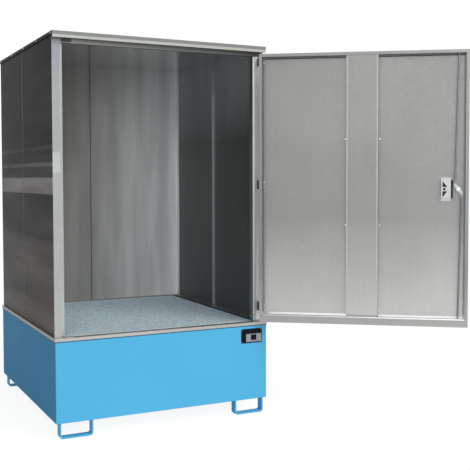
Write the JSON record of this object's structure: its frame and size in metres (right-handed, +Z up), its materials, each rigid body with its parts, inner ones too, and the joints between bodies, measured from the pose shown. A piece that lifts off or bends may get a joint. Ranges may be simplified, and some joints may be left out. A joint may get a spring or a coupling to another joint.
{
  "type": "dangerous goods storage cabinet",
  "caption": "Walk-up sheet steel cabinet on a leak-proof sump with feet, with a grating floor and one wide hinged door that stands open and locks with rods.",
  "frame": {"origin": "on the floor, under the middle of the whole object's outline with its door open as stored; the sump's front left corner is at X -1.255, Y -0.374", "axes": "+X to the cabinet's right as seen from its front, +Y to its rear, +Z up"},
  "size_m": [2.5186, 2.5602, 2.522],
  "materials": {
    "blue_paint": "smooth gloss paint",
    "galvanised_sheet": "galvanised sheet, faint spangle",
    "hot_dip_zinc": "dull hot-dip zinc",
    "bright_steel": "bright zinc plated",
    "black_plastic": "matt"
  },
  "bodies": {
    "cabinet": {"sump_tray": "blue_paint", "foot_front_left": "blue_paint", "foot_front_right": "blue_paint", "foot_rear_left": "blue_paint", "foot_rear_right": "blue_paint", "base_rim": "galvanised_sheet", "grating_bearer_front": "blue_paint", "grating_bearer_middle": "blue_paint", "grating_bearer_rear": "blue_paint", "post_left": "galvanised_sheet", "post_right": "galvanised_sheet", "corner_rear_left": "galvanised_sheet", "corner_rear_right": "galvanised_sheet", "header": "galvanised_sheet", "roof": "galvanised_sheet", "wall_left_front": "galvanised_sheet", "wall_left_rear": "galvanised_sheet", "wall_right_front": "galvanised_sheet", "wall_right_rear": "galvanised_sheet", "wall_rear_left": "galvanised_sheet", "wall_rear_right": "galvanised_sheet", "seam_rib_left": "galvanised_sheet", "seam_rib_right": "galvanised_sheet", "seam_rib_rear": "galvanised_sheet", "upper_strike": "bright_steel", "lower_strike": "bright_steel", "nameplate": "black_plastic", "hinge_frame_leaf_1": "bright_steel", "hinge_frame_leaf_2": "bright_steel", "hinge_frame_leaf_3": "bright_steel", "hinge_pin_1": "bright_steel", "hinge_pin_2": "bright_steel", "hinge_pin_3": "bright_steel"},
    "grating_mat_left": {"grating_left": "hot_dip_zinc"},
    "grating_mat_right": {"grating_right": "hot_dip_zinc"},
    "door": {"door_skin": "galvanised_sheet", "door_bottom_ledge": "galvanised_sheet", "door_stiffener": "galvanised_sheet", "grip_pan": "black_plastic", "grip_bracket": "galvanised_sheet", "rod_guide_upper": "black_plastic", "rod_guide_lower": "black_plastic", "lock_bush": "bright_steel", "hinge_door_leaf_1": "bright_steel", "hinge_door_leaf_2": "bright_steel", "hinge_door_leaf_3": "bright_steel", "hinge_bolt_1": "bright_steel", "hinge_bolt_2": "bright_steel", "hinge_bolt_3": "bright_steel", "hinge_bolt_4": "bright_steel", "hinge_bolt_5": "bright_steel", "hinge_bolt_6": "bright_steel"},
    "lock": {"turn_handle": "black_plastic", "lock_spindle": "bright_steel", "lock_cam": "bright_steel"},
    "key_cylinder": {"key_plug": "bright_steel"},
    "rod_up": {"upper_rod": "bright_steel"},
    "rod_down": {"lower_rod": "bright_steel"}
  },
  "joints": [
    {"name": "door_swing", "type": "hinge", "parent": "cabinet", "child": "door", "pos_m": [0.16667, -0.38193, 1.55], "axis": [0, 0, 1], "range_deg": [-142, 28]},
    {"name": "handle_turn", "type": "hinge", "parent": "door", "child": "lock", "pos_m": [1.20508, -1.20337, 1.551], "axis": [0.6157, 0.788, 0], "range_deg": [-32, 38]},
    {"name": "key_turn", "type": "hinge", "parent": "lock", "child": "key_cylinder", "pos_m": [1.20508, -1.20337, 1.551], "axis": [0.6157, 0.788, 0], "range_deg": [0, 90]},
    {"name": "upper_rod_pivot", "type": "hinge", "parent": "lock", "child": "rod_up", "pos_m": [1.17011, -1.21412, 1.57779], "axis": [0.6157, 0.788, 0], "range_deg": [-39.2, 33]},
    {"name": "lower_rod_pivot", "type": "hinge", "parent": "lock", "child": "rod_down", "pos_m": [1.2031, -1.23989, 1.52421], "axis": [0.6157, 0.788, 0], "range_deg": [-39.2, 33]},
    {"name": "grating_left_lift", "type": "slide", "parent": "cabinet", "child": "grating_mat_left", "axis": [0, 0, 1], "range_m": [0, 0.3]},
    {"name": "grating_right_lift", "type": "slide", "parent": "cabinet", "child": "grating_mat_right", "axis": [0, 0, 1], "range_m": [0, 0.3]}
  ],
  "couplings": [
    {"joint": "upper_rod_pivot", "follows": "handle_turn", "ratio": -1.03},
    {"joint": "lower_rod_pivot", "follows": "handle_turn", "ratio": -1.03}
  ]
}
